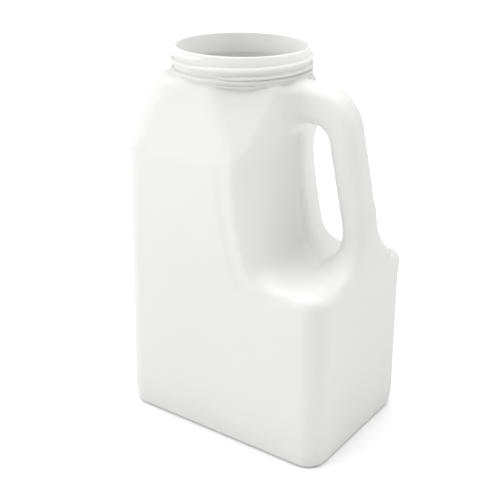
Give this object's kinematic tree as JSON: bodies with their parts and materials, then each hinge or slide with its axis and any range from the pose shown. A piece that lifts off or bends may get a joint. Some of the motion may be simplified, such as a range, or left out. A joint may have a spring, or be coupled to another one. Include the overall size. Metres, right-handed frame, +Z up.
{
  "type": "f-style jug",
  "caption": "Empty blown white plastic jug: drafted square body, sloped shoulders, wide open threaded neck and a moulded-in hollow handle at one end.",
  "frame": {"origin": "middle of the bounding box at the underside the jug stands on", "axes": "+Z up along the neck, +X towards the handle, the parting line lies in the XZ plane"},
  "size_m": [0.1878, 0.1374, 0.3019],
  "materials": {
    "body": "satin white polyethylene"
  },
  "bodies": {
    "root": {"jug": "body"}
  },
  "joints": []
}
